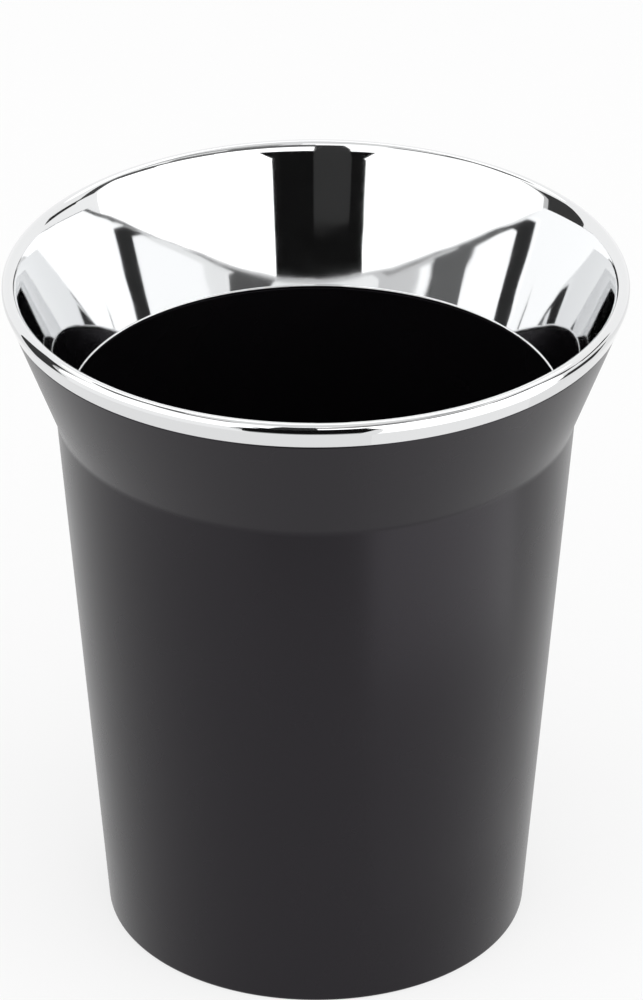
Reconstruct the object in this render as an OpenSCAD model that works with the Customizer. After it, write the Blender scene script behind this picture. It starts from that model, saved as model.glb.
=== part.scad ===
// Round table-top cutlery holder: a tapered moulded cup with a flared mouth, and a plated collar that
// drops into the flare. The collar's rim rests on the cup's top edge, and its funnel lines the flare.
// The origin is the centre of the foot, on the surface that the holder stands on.

/* [Overall] */
// Height from the foot to the top of the rim
total_h = 150; // [132:1:180]
// Outer diameter of the rim
rim_d = 130; // [118:1:150]

/* [Cup] */
// Outer diameter at the foot
foot_d = 90; // [70:0.5:104]
// Height of the crease where the flare starts
crease_h = 119.6; // [90:0.2:134]
// Angle of the flare from the vertical
flare_angle = 20.4; // [13:0.2:28]
// Thickness of the tapered wall
wall = 2.7; // [1.6:0.05:3.2]
// Thickness of the flare's wall
flare_wall = 1.25; // [0.9:0.05:2]
// Thickness of the floor
floor_t = 2.6; // [1.5:0.1:6]
// Radius of the blend between the tapered wall and the flare
crease_r = 6; // [1:0.5:12]
// Radius of the blend between the floor and the wall, inside
floor_r = 5; // [1:0.5:12]

/* [Foot] */
// Width of the ring that the cup stands on
foot_ring_w = 4.5; // [2.5:0.5:12]
// Height of the hollow inside the foot ring
foot_hollow_h = 1.8; // [0.8:0.1:6]
// Radius of the rounded outer edge of the foot
foot_r = 0.8; // [0.2:0.1:2]

/* [Collar] */
// Height of the lip that shows outside, up to the top of the rim
lip_h = 5.35; // [3.5:0.05:12]
// Thickness of the funnel's wall
collar_wall = 1.25; // [0.9:0.05:2]
// Radius of the rounded edges at the seam, the ledge and the funnel's lower end
edge_r = 0.3; // [0.1:0.05:0.4]

/* [Fit] */
// Clearance between the funnel and the flare, square to their walls
collar_fit = 0.3; // [0.1:0.05:0.6]
// Clearance between the funnel's lower end and the ledge under it
ledge_fit = 0.3; // [0.1:0.05:1]

/* [Hidden] */
cup_colour = "#2d2b2e";
collar_colour = "#d5d7da";
axis_steps = 180;
corner_steps = 8;
rim_steps = 36;

// The rim is as thick as the walls that it covers, and its top is a full round
rim_t = flare_wall + collar_fit + collar_wall;
rim_r = rim_t / 2;
rim_centre = [rim_d / 2 - rim_r, total_h - rim_r];
seat_z = total_h - lip_h;

// Slopes of the outer faces, as radius gained for each millimetre of height
flare_slope = tan(flare_angle);
taper_slope = (flare_face(crease_h, 0) - foot_d / 2) / crease_h;
taper_angle = atan(taper_slope);

// The funnel ends where its inner face meets the cup's inner face
funnel_end_z = crease_h + (rim_t / cos(flare_angle) - wall / cos(taper_angle)) / (flare_slope - taper_slope);
ledge_z = funnel_end_z - ledge_fit;
floor_z = foot_hollow_h + floor_t;

// Radius, at a height, of a face that lies a depth inside the flare's outer face
function flare_face(z, depth) =
    rim_centre.x + (rim_r - depth) / cos(flare_angle) + flare_slope * (z - rim_centre.y);

// Radius, at a height, of a face that lies a depth inside the tapered wall's outer face
function taper_face(z, depth) = foot_d / 2 + taper_slope * z - depth / cos(taper_angle);

function unit(v) = v / norm(v);

// Points of an arc that starts at one angle and goes through a sweep
function arc(centre, radius, from, sweep, steps) =
    [for (i = [0:steps]) centre + radius * [cos(from + sweep * i / steps), sin(from + sweep * i / steps)]];

// Points that round the corner between two neighbours to a radius
function rounded(before, corner, after, radius) =
    let (
        back = unit(before - corner),
        ahead = unit(after - corner),
        half = acos(back * ahead) / 2,
        centre = corner + unit(back + ahead) * radius / sin(half),
        start = corner + back * radius / tan(half) - centre,
        turn = sign(cross(ahead, back)) * (180 - 2 * half)
    )
    arc(centre, radius, atan2(start.y, start.x), turn, corner_steps);

// The points of a closed outline, from [point, radius] corners: a radius of 0 keeps the corner sharp
function outline(corners) =
    let (last = len(corners) - 1)
    [
        for (i = [0:last])
            let (
                before = corners[i == 0 ? last : i - 1][0],
                corner = corners[i][0],
                after = corners[i == last ? 0 : i + 1][0],
                radius = corners[i][1]
            )
            each (radius == 0 ? [corner] : rounded(before, corner, after, radius))
    ];

// A round body turned from an outline of [radius, height] points
module turned(points) {
    rotate_extrude($fn = axis_steps) polygon(points);
}

module cup() {
    hollow_r = foot_d / 2 - foot_ring_w;
    color(cup_colour)
        turned(outline([
            [[0, foot_hollow_h], 0],
            [[hollow_r, foot_hollow_h], edge_r],
            [[hollow_r, 0], edge_r],
            [[foot_d / 2, 0], foot_r],
            [[flare_face(crease_h, 0), crease_h], crease_r],
            [[flare_face(seat_z, 0), seat_z], edge_r],
            [[flare_face(seat_z, flare_wall), seat_z], edge_r],
            [[flare_face(ledge_z, flare_wall), ledge_z], edge_r],
            [[taper_face(ledge_z, wall), ledge_z], edge_r],
            [[taper_face(floor_z, wall), floor_z], floor_r],
            [[0, floor_z], 0]
        ]));
}

module collar() {
    funnel_back = flare_wall + collar_fit;
    rim_round = arc(rim_centre, rim_r, -flare_angle, 180, rim_steps);
    rim_middle = [for (i = [1:rim_steps - 1]) rim_round[i]];
    body = outline([
        [rim_round[rim_steps], 0],
        [[flare_face(funnel_end_z, rim_t), funnel_end_z], edge_r],
        [[flare_face(funnel_end_z, funnel_back), funnel_end_z], edge_r],
        [[flare_face(seat_z, funnel_back), seat_z], 0],
        [[flare_face(seat_z, 0), seat_z], edge_r],
        [rim_round[0], 0]
    ]);
    color(collar_colour)
        turned(concat(body, rim_middle));
}

cup();
collar();
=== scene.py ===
"""Looks of a cutlery holder: a black satin moulded cup and a mirror-plated collar, in a white light tent."""

import math

import bpy
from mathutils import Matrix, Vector


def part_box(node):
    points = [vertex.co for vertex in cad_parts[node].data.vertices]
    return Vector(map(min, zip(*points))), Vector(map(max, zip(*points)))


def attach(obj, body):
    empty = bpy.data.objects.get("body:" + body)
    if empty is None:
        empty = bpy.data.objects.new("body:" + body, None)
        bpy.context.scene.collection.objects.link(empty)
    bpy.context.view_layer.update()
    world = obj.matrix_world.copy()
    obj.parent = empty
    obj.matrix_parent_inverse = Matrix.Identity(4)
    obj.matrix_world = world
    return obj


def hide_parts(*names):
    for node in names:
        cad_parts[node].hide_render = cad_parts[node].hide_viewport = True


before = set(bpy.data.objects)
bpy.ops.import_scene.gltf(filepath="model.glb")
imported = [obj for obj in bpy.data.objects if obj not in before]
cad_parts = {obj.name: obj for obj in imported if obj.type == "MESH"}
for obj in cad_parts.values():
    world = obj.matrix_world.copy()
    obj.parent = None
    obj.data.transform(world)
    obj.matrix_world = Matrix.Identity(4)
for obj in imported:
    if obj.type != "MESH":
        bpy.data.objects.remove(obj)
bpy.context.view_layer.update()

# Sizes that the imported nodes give
cup_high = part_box("cup")[1]
collar_low, collar_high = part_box("collar")
RIM_RADIUS = min(collar_high.x, collar_high.y)
TOTAL_H = collar_high.z
SEAT_Z = cup_high.z
FUNNEL_END_Z = collar_low.z

# Sizes of the mouldings, in metres, as in the part's source
FOOT_RADIUS = 0.045
CREASE_H = 0.1196
FLARE_ANGLE = math.radians(20.4)
WALL = 0.0027
FLARE_WALL = 0.00125
COLLAR_WALL = 0.00125
COLLAR_FIT = 0.0003
LEDGE_FIT = 0.0003
FLOOR_T = 0.0026
FOOT_RING_W = 0.0045
FOOT_HOLLOW_H = 0.0018
CREASE_ROUND = 0.006
FLOOR_ROUND = 0.005
FOOT_ROUND = 0.0008
EDGE_ROUND = 0.0003

# Finer sizes for the looks alone, in metres: the rim's rounds, the ledge's edge and the funnel's toe
RIM_OUTER_ROUND = 0.0022
RIM_INNER_ROUND = 0.0035
RIM_EASE_ROUND = 0.018
RIM_BLEND = math.radians(12)
RIM_INNER_ANGLE = math.radians(45)
RIM_EASE_ANGLE = math.radians(27)
RIM_PROUD = 0.00008
FUNNEL_PROUD = 0.0003
LEDGE_ROUND = 0.00012
TOE_H = 0.0005
TOE_W = 0.00025
TOE_ROUND = 0.00022

# Fineness of the turned meshes
SEGMENTS = 288
CORNER_STEPS = 8
RIM_STEPS = 36
LONGEST_RUN = 0.004

# The finishes: linear colours, noise scales per metre and bump depths in metres
WHITE = (1, 1, 1, 1)
BLACK_DEEP = (0.0017, 0.0015, 0.0018, 1)
BLACK_PALE = (0.0024, 0.0021, 0.0025, 1)
BLACK_ROUGHNESS = (0.24, 0.30)
BLACK_GLOSS = 0.305
BLACK_GLOSS_TINT = (0.95, 0.885, 1.0, 1)
CLOUD_SCALE = 45.0
CLOUD_DETAIL = 3.0
GRAIN_SCALE = 3200.0
GRAIN_DETAIL = 2.0
GRAIN_STRENGTH = 0.25
GRAIN_DEPTH = 0.00002
CHROME = (0.72, 0.725, 0.73, 1)
CHROME_ROUGHNESS = (0.02, 0.06)
HAZE_SCALE = 220.0
HAZE_DETAIL = 4.0
RIPPLE_SCALE = 70.0
RIPPLE_DETAIL = 1.0
RIPPLE_STRENGTH = 0.2
RIPPLE_DEPTH = 0.0002

# Strengths of the studio's light
WORLD_LEFT = 0.68
WORLD_RIGHT = 1.17
FLOOR_GLOW = 1.0
FLOOR_GLOW_SHARE = 0.7
LEFT_PANEL = 1.85
RIGHT_PANEL = 2.0
LEFT_SHEET = 1.14
RIGHT_SHEET = 1.8
RIGHT_INNER_SHEET = 1.06
REAR_LOW_SHEET = 1.15
REAR_HIGH_SHEET = 1.6
UPPER_SHEET = 1.5

# Greys of the studio's floor, its dark cards, and the painted shade on the floor that only reflections show
FLOOR_GREY = 0.83
# The next grey serves the dark front gap and the painted shadow on the floor in front; the one after is that
# painted shadow's grey edge
FRONT_GAP_AND_SHADOW_GREY = 0.004
SHADOW_EDGE_GREY = 0.30
HOOD_GREY = 0.04
LEFT_GREY = 0.04
RIGHT_GREY = 0.03
RIGHT_SIDE_GREY = 0.06
OUTER_GREY = 0.12
RIGHT_UPPER_GREY = 0.20
UPPER_GREY = 0.18
SHADE_GREY = 0.55

# Places in the studio, in metres from the holder's axis or above the floor
FLOOR_HALF = 4.0
CARD_LIFT = 0.001
CARD_STEPS = 48
PANEL_DISTANCE = 1.2
PANEL_H = 1.56
SHEET_DISTANCE = 1.1
GAP_DISTANCE = 1.0
HOOD_DISTANCE = 0.3
HOOD_HEIGHTS = (0.22, 0.62)
# Where the painted shade on the floor by the side gaps begins
GAP_SHADE_START = 0.3
# Where the painted shadow on the floor in front has its grey edge
SHADOW_EDGE_START = 0.24
SHADOW_EDGE_END = 0.30
LEFT_SHEET_START = 0.22
RIGHT_SHEET_START = 0.155
RIGHT_INNER_START = 0.07
REAR_SPLIT_H = 1.18
UPPER_SHEET_H = 1.40
NECK_H = 0.44
SHADE_H = 1.75

# The camera: its place in metres, how far it looks down, and its lens and sensor in millimetres
CAMERA_PLACE = (0.00118, -1.1443, 0.7434)
CAMERA_DIP = math.radians(29.47)
LENS = 224.4
SENSOR_W = 36

# Sizes that follow from these
RIM_T = FLARE_WALL + COLLAR_FIT + COLLAR_WALL
RIM_ROUND = RIM_T / 2
RIM_CENTRE = Vector((RIM_RADIUS - RIM_ROUND, TOTAL_H - RIM_ROUND))
FLOOR_Z = FOOT_HOLLOW_H + FLOOR_T
LEDGE_Z = FUNNEL_END_Z - LEDGE_FIT


def flare_face(z, depth):
    """The point at a height on a face that lies a depth inside the flare's outer face."""
    level = RIM_CENTRE.x + (RIM_ROUND - depth) / math.cos(FLARE_ANGLE)
    return Vector((level + math.tan(FLARE_ANGLE) * (z - RIM_CENTRE.y), z))


TAPER_SLOPE = (flare_face(CREASE_H, 0).x - FOOT_RADIUS) / CREASE_H


def taper_face(z, depth):
    """The point at a height on a face that lies a depth inside the tapered wall's outer face."""
    return Vector((FOOT_RADIUS + TAPER_SLOPE * z - depth * math.hypot(1, TAPER_SLOPE), z))


def arc(centre, radius, start, sweep, steps):
    """Points of an arc that starts at an angle and goes through a sweep."""
    angles = [start + sweep * i / steps for i in range(steps + 1)]
    return [centre + radius * Vector((math.cos(a), math.sin(a))) for a in angles]


def rounded(before, corner, after, radius):
    """Points that round the corner between two neighbours to a radius."""
    back = (before - corner).normalized()
    ahead = (after - corner).normalized()
    half = back.angle(ahead) / 2
    centre = corner + (back + ahead).normalized() * radius / math.sin(half)
    start = corner + back * radius / math.tan(half) - centre
    turn = math.copysign(math.pi - 2 * half, ahead.x * back.y - ahead.y * back.x)
    return arc(centre, radius, math.atan2(start.y, start.x), turn, CORNER_STEPS)


def outline(corners):
    """The points of a closed outline from (point, radius) corners: a radius of 0 keeps the corner sharp."""
    points = []
    for i, (corner, radius) in enumerate(corners):
        before = corners[i - 1][0]
        after = corners[(i + 1) % len(corners)][0]
        points += rounded(before, corner, after, radius) if radius else [corner]
    return points


def with_even_runs(points):
    """The same closed outline, with its long straight runs cut into short ones."""
    fine = []
    for point, after in zip(points, points[1:] + points[:1]):
        cuts = max(1, math.ceil((after - point).length / LONGEST_RUN))
        fine += [point.lerp(after, i / cuts) for i in range(cuts)]
    return fine


def turned(name, points):
    """A closed mesh turned about Z from a closed outline of (radius, height) points."""
    vertices = []
    rings = []
    for radius, z in with_even_runs(points):
        count = SEGMENTS if radius > 0 else 1
        rings.append(range(len(vertices), len(vertices) + count))
        turns = [math.tau * k / SEGMENTS for k in range(count)]
        vertices += [(radius * math.cos(t), radius * math.sin(t), z) for t in turns]
    faces = []
    for ring, after in zip(rings, rings[1:] + rings[:1]):
        for k in range(SEGMENTS):
            corners = [ring[k % len(ring)], ring[(k + 1) % len(ring)]]
            corners += [after[(k + 1) % len(after)], after[k % len(after)]]
            face = list(dict.fromkeys(corners))
            if len(face) > 2:
                faces.append(face)
    mesh = bpy.data.meshes.new(name)
    mesh.from_pydata(vertices, [], faces)
    mesh.shade_smooth()
    piece = bpy.data.objects.new(name, mesh)
    bpy.context.scene.collection.objects.link(piece)
    piece.modifiers.new("flat_runs", "WEIGHTED_NORMAL")
    return piece


def add(tree, kind, inputs=None, **settings):
    """A new shader node, with values or links for its inputs."""
    made = tree.nodes.new("ShaderNode" + kind)
    for name, value in settings.items():
        setattr(made, name, value)
    for name, value in (inputs or {}).items():
        if isinstance(value, bpy.types.NodeSocket):
            tree.links.new(value, made.inputs[name])
        else:
            made.inputs[name].default_value = value
    return made


def noise(tree, scale, detail):
    """A noise over the piece, from 0 to 1."""
    place = add(tree, "TexCoord").outputs["Object"]
    return add(tree, "TexNoise", {"Vector": place, "Scale": scale, "Detail": detail}).outputs["Fac"]


def between(tree, value, limits):
    """A value from 0 to 1, stretched to lie between two limits."""
    low, high = limits
    return add(tree, "MapRange", {"Value": value, "To Min": low, "To Max": high}).outputs["Result"]


def bumps(tree, height, strength, depth):
    """The slopes of a surface that a noise makes uneven."""
    return add(tree, "Bump", {"Height": height, "Strength": strength, "Distance": depth}).outputs["Normal"]


def new_material(name):
    """An empty node material and its tree and output node."""
    material = bpy.data.materials.new(name)
    material.use_nodes = True
    tree = material.node_tree
    tree.nodes.clear()
    return material, tree, add(tree, "OutputMaterial")


def satin_black():
    """Black moulded plastic with a fine eroded grain and slightly uneven gloss."""
    material, tree, output = new_material("satin_black")
    grain = noise(tree, GRAIN_SCALE, GRAIN_DETAIL)
    clouds = noise(tree, CLOUD_SCALE, CLOUD_DETAIL)
    tint = add(tree, "MixRGB", {"Fac": clouds, "Color1": BLACK_DEEP, "Color2": BLACK_PALE})
    surface = add(
        tree,
        "BsdfPrincipled",
        {
            "Base Color": tint.outputs["Color"],
            "Roughness": between(tree, clouds, BLACK_ROUGHNESS),
            "IOR": 1.5,
            "Specular IOR Level": BLACK_GLOSS,
            "Specular Tint": BLACK_GLOSS_TINT,
            "Normal": bumps(tree, grain, GRAIN_STRENGTH, GRAIN_DEPTH),
        },
    )
    tree.links.new(surface.outputs["BSDF"], output.inputs["Surface"])
    return material


def bright_chrome():
    """Mirror plating over moulded plastic: nearly clear reflections with a faint ripple."""
    material, tree, output = new_material("bright_chrome")
    ripple = noise(tree, RIPPLE_SCALE, RIPPLE_DETAIL)
    haze = noise(tree, HAZE_SCALE, HAZE_DETAIL)
    surface = add(
        tree,
        "BsdfPrincipled",
        {
            "Base Color": CHROME,
            "Metallic": 1.0,
            "Roughness": between(tree, haze, CHROME_ROUGHNESS),
            "Normal": bumps(tree, ripple, RIPPLE_STRENGTH, RIPPLE_DEPTH),
        },
    )
    tree.links.new(surface.outputs["BSDF"], output.inputs["Surface"])
    return material


def plain(name, grey):
    """A plain matt grey surface for the stage."""
    material, tree, output = new_material(name)
    surface = add(tree, "BsdfDiffuse", {"Color": (grey, grey, grey, 1)})
    tree.links.new(surface.outputs["BSDF"], output.inputs["Surface"])
    return material


def glowing(name, strength):
    """A plain white lit surface for the stage."""
    material, tree, output = new_material(name)
    surface = add(tree, "Emission", {"Color": WHITE, "Strength": strength})
    tree.links.new(surface.outputs["Emission"], output.inputs["Surface"])
    return material


def cup():
    """The black moulding: foot ring, tapered wall, crease, flare, ledge and floor."""
    hollow_radius = FOOT_RADIUS - FOOT_RING_W
    points = outline(
        [
            (Vector((0, FOOT_HOLLOW_H)), 0),
            (Vector((hollow_radius, FOOT_HOLLOW_H)), EDGE_ROUND),
            (Vector((hollow_radius, 0)), EDGE_ROUND),
            (Vector((FOOT_RADIUS, 0)), FOOT_ROUND),
            (flare_face(CREASE_H, 0), CREASE_ROUND),
            (flare_face(SEAT_Z, 0), EDGE_ROUND),
            (flare_face(SEAT_Z, FLARE_WALL), EDGE_ROUND),
            (flare_face(LEDGE_Z, FLARE_WALL), EDGE_ROUND),
            (taper_face(LEDGE_Z, WALL), LEDGE_ROUND),
            (taper_face(FLOOR_Z, WALL), FLOOR_ROUND),
            (Vector((0, FLOOR_Z)), 0),
        ]
    )
    return turned("moulded_cup", points)


def rolled_rim():
    """The rim from the lip over the top to the funnel: arcs that run on, tight on top and slower inside."""
    turns = [
        -FLARE_ANGLE,
        RIM_BLEND,
        math.pi - RIM_INNER_ANGLE,
        math.pi - RIM_EASE_ANGLE,
        math.pi - FLARE_ANGLE,
    ]
    spans = [math.cos(a + FLARE_ANGLE) - math.cos(b + FLARE_ANGLE) for a, b in zip(turns, turns[1:])]
    outer_span, top_span, inner_span, ease_span = spans
    others = RIM_OUTER_ROUND * outer_span + RIM_INNER_ROUND * inner_span + RIM_EASE_ROUND * ease_span
    top_round = (RIM_T + RIM_PROUD + FUNNEL_PROUD - others) / top_span
    points = [Vector((0, 0))]
    rounds = (RIM_OUTER_ROUND, top_round, RIM_INNER_ROUND, RIM_EASE_ROUND)
    for radius, a, b in zip(rounds, turns, turns[1:]):
        centre = points[-1] - radius * Vector((math.cos(a), math.sin(a)))
        points += arc(centre, radius, a, b - a, RIM_STEPS)[1:]
    rise = TOTAL_H - max(z for _, z in points)
    shift = flare_face(rise, -RIM_PROUD)
    return [point + shift for point in points]


def collar():
    """The plated ring: the rim, the lip on the cup's top edge, and the funnel with its toe."""
    funnel_back = FLARE_WALL + COLLAR_FIT
    rim = rolled_rim()
    toe = flare_face(FUNNEL_END_Z + TOE_H, RIM_T + FUNNEL_PROUD)
    toe_tip = toe - Vector((TOE_W, 0))
    points = outline(
        [
            (rim[-1], 0),
            (toe, TOE_ROUND),
            (toe_tip, LEDGE_ROUND),
            (Vector((toe_tip.x, FUNNEL_END_Z)), LEDGE_ROUND),
            (flare_face(FUNNEL_END_Z, funnel_back), EDGE_ROUND),
            (flare_face(SEAT_Z, funnel_back), 0),
            (flare_face(SEAT_Z, -RIM_PROUD), EDGE_ROUND),
            (rim[0], 0),
        ]
    )
    return turned("plated_collar", points + rim[1:-1])


def dress(piece, node, material):
    """Puts a modelled piece in place of its node, on the body of the same name."""
    piece.data.materials.append(material)
    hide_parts(node)
    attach(piece, node)


def white_floor():
    """A white sheet that keeps the holder's shadow: the camera and the gloss see it lit from below too."""
    material, tree, output = new_material("white_floor")
    material.cycles.emission_sampling = "NONE"
    path = add(tree, "LightPath")
    seen = path.outputs["Is Camera Ray"]
    for way in ("Is Glossy Ray", "Is Transmission Ray"):
        seen = add(tree, "Math", {0: seen, 1: path.outputs[way]}, operation="MAXIMUM").outputs["Value"]
    share = add(tree, "Math", {0: seen, 1: FLOOR_GLOW_SHARE}, operation="MULTIPLY").outputs["Value"]
    matt = add(tree, "BsdfDiffuse", {"Color": (FLOOR_GREY, FLOOR_GREY, FLOOR_GREY, 1)}).outputs["BSDF"]
    glow = add(tree, "Emission", {"Color": WHITE, "Strength": FLOOR_GLOW}).outputs["Emission"]
    mix = add(tree, "MixShader", {"Fac": share, 1: matt, 2: glow})
    tree.links.new(mix.outputs["Shader"], output.inputs["Surface"])
    return material


def on_stage(name, vertices, faces, material):
    """A piece of the studio, which isn't part of the object."""
    mesh = bpy.data.meshes.new(name)
    mesh.from_pydata(vertices, [], faces)
    mesh.materials.append(material)
    piece = bpy.data.objects.new(name, mesh)
    bpy.context.scene.collection.objects.link(piece)
    return piece


def floor():
    """The level floor that the holder stands on."""
    half = FLOOR_HALF
    corners = [(-half, -half, 0), (half, -half, 0), (half, half, 0), (-half, half, 0)]
    on_stage("floor", corners, [(0, 1, 2, 3)], white_floor())


def standing(distance, heights, azimuths, top=None):
    """The low and high arcs of a card that stands up, with other azimuths at its top if given."""
    low, high = heights
    return (distance, low, *azimuths), (distance, high, *(top or azimuths))


def lying(distances, azimuths, far=None):
    """The near and far arcs of a card that lies on the floor, with other azimuths at its far end if given."""
    start, end = distances
    return (start, CARD_LIFT, *azimuths), (end, CARD_LIFT, *(far or azimuths))


def card(name, arcs, material):
    """A card of the studio between two level arcs, each (distance, height, first azimuth, last azimuth).

    Azimuths are in degrees about the holder's axis, with 0 towards the camera and + to the right.
    """
    vertices = []
    for distance, z, first, last in arcs:
        for i in range(CARD_STEPS + 1):
            azimuth = math.radians(first + (last - first) * i / CARD_STEPS)
            vertices.append((distance * math.sin(azimuth), -distance * math.cos(azimuth), z))
    above = CARD_STEPS + 1
    faces = [(i, i + 1, i + 1 + above, i + above) for i in range(CARD_STEPS)]
    return on_stage(name, vertices, faces, material)


def softbox(name, strength, azimuths):
    """A lit panel that stands on the floor, out of the camera's sight."""
    arcs = standing(PANEL_DISTANCE, (CARD_LIFT, PANEL_H), azimuths)
    card(name, arcs, glowing(name, strength)).visible_camera = False


def gloss_card(name, arcs, material):
    """A card that only reflections show, so that it neither hides nor shades anything."""
    piece = card(name, arcs, material)
    piece.visible_camera = False
    piece.visible_diffuse = False
    piece.visible_shadow = False


def lit_floor(name, strength, distances, azimuths):
    """A lit sheet on the floor between two distances."""
    gloss_card(name, lying(distances, azimuths), glowing(name, strength))


def lit_wall(name, strength, heights, azimuths):
    """A lit sheet that stands between two heights."""
    gloss_card(name, standing(SHEET_DISTANCE, heights, azimuths), glowing(name, strength))


def painted_floor_shade(name, grey, distances, azimuths, far):
    """A dark card on the floor between two distances: painted shade on the floor, which only reflections
    show.
    """
    gloss_card(name, lying(distances, azimuths, far), plain(name, grey))


def dark_wall(name, grey, heights, azimuths, top=None, distance=GAP_DISTANCE):
    """A dark card that stands between two heights."""
    gloss_card(name, standing(distance, heights, azimuths, top), plain(name, grey))


def tent():
    """White light from all round, stronger on the right."""
    world = bpy.data.worlds.new("tent")
    bpy.context.scene.world = world
    world.use_nodes = True
    world.cycles.sampling_method = "NONE"
    tree = world.node_tree
    way = add(tree, "SeparateXYZ", {"Vector": add(tree, "TexCoord").outputs["Generated"]})
    ends = {"From Min": -1.0, "From Max": 1.0, "To Min": WORLD_LEFT, "To Max": WORLD_RIGHT}
    strength = add(tree, "MapRange", {"Value": way.outputs["X"], **ends})
    light = tree.nodes["Background"]
    light.inputs["Color"].default_value = WHITE
    tree.links.new(strength.outputs["Result"], light.inputs["Strength"])


def lit_cards():
    """The lit panels at both sides, and lit sheets on the floor, behind and above."""
    softbox("left_panel", LEFT_PANEL, azimuths=(-97, -12))
    softbox("right_panel", RIGHT_PANEL, azimuths=(-12, 92))
    left_sheet = (LEFT_SHEET_START, PANEL_DISTANCE)
    right_sheet = (RIGHT_SHEET_START, PANEL_DISTANCE)
    right_inner_sheet = (RIGHT_INNER_START, RIGHT_SHEET_START)
    lit_floor("left_sheet", LEFT_SHEET, left_sheet, azimuths=(-97, -24))
    lit_floor("right_sheet", RIGHT_SHEET, right_sheet, azimuths=(22, 92))
    lit_floor("right_inner_sheet", RIGHT_INNER_SHEET, right_inner_sheet, azimuths=(22, 92))
    lit_wall("rear_low_sheet", REAR_LOW_SHEET, heights=(0.0, REAR_SPLIT_H), azimuths=(122, 258))
    lit_wall("rear_high_sheet", REAR_HIGH_SHEET, heights=(REAR_SPLIT_H, 2.6), azimuths=(122, 263))
    lit_wall("left_top_sheet", UPPER_SHEET, heights=(UPPER_SHEET_H, 2.05), azimuths=(-97, -45))
    lit_wall("upper_left_sheet", UPPER_SHEET, heights=(UPPER_SHEET_H, 2.9), azimuths=(-45, 8))


def dark_cards():
    """Dark gaps in the tent, and painted shade on the floor in front and by the side gaps, which the plating
    shows as dark bands and lines.
    """
    front_shadow_edge = (SHADOW_EDGE_START, SHADOW_EDGE_END)
    front_floor_shadow = (SHADOW_EDGE_END, GAP_DISTANCE)
    gap_shade = (GAP_SHADE_START, GAP_DISTANCE)
    # Painted shadow on the floor in front, which only reflections show: a grey edge, then nearly black
    # further out
    painted_floor_shade("front_shadow_edge", SHADOW_EDGE_GREY, front_shadow_edge, azimuths=(-22, 15), far=(-24, 16))
    painted_floor_shade("front_floor_shadow", FRONT_GAP_AND_SHADOW_GREY, front_floor_shadow, azimuths=(-24, 16), far=(-29, 20))
    dark_wall("front_opening", FRONT_GAP_AND_SHADOW_GREY, heights=(0.0, NECK_H), azimuths=(-29, 22), top=(-19, 17))
    dark_wall("front_top", FRONT_GAP_AND_SHADOW_GREY, heights=(NECK_H, 0.64), azimuths=(-19, 17), top=(-24, 23))
    dark_wall("front_hood", HOOD_GREY, HOOD_HEIGHTS, azimuths=(-15, 1), top=(-15, 0), distance=HOOD_DISTANCE)
    # Painted shade on the floor by the left gap, which only reflections show
    painted_floor_shade("left_gap_floor", LEFT_GREY, gap_shade, azimuths=(-114, -93), far=(-121, -100))
    dark_wall("left_gap", LEFT_GREY, heights=(0.0, 0.80), azimuths=(-121, -100))
    # Painted shade on the floor by the right gap, which only reflections show
    painted_floor_shade("right_gap_floor", RIGHT_GREY, gap_shade, azimuths=(88, 112), far=(95, 119))
    dark_wall("right_gap", RIGHT_GREY, heights=(0.36, 0.55), azimuths=(104, 124))
    dark_wall("right_gap_side", RIGHT_SIDE_GREY, heights=(0.45, 0.90), azimuths=(95, 104), top=(94, 104))
    dark_wall("far_upper_gap", OUTER_GREY, heights=(0.90, 1.27), azimuths=(72, 104))
    dark_wall("right_upper_gap", RIGHT_UPPER_GREY, heights=(1.02, 1.48), azimuths=(45, 72))
    dark_wall("left_upper_gap", OUTER_GREY, heights=(1.88, 2.6), azimuths=(-100, -45))
    dark_wall("left_rear_gap", OUTER_GREY, heights=(1.34, 2.6), azimuths=(-138, -100))
    dark_wall("upper_gap", UPPER_GREY, heights=(1.08, SHADE_H), azimuths=(0, 45))
    dark_wall("upper_shade", SHADE_GREY, heights=(SHADE_H, 2.9), azimuths=(20, 112))


def camera():
    """The photograph's view: a long lens, looking down on the holder from in front."""
    data = bpy.data.cameras.new("camera")
    data.sensor_width = SENSOR_W
    data.lens = LENS
    eye = bpy.data.objects.new("camera", data)
    eye.location = CAMERA_PLACE
    eye.rotation_euler = (math.pi / 2 - CAMERA_DIP, 0, 0)
    bpy.context.scene.collection.objects.link(eye)
    bpy.context.scene.camera = eye


dress(cup(), "cup", satin_black())
dress(collar(), "collar", bright_chrome())
floor()
tent()
lit_cards()
dark_cards()
camera()
bpy.context.scene.view_settings.view_transform = "Standard"
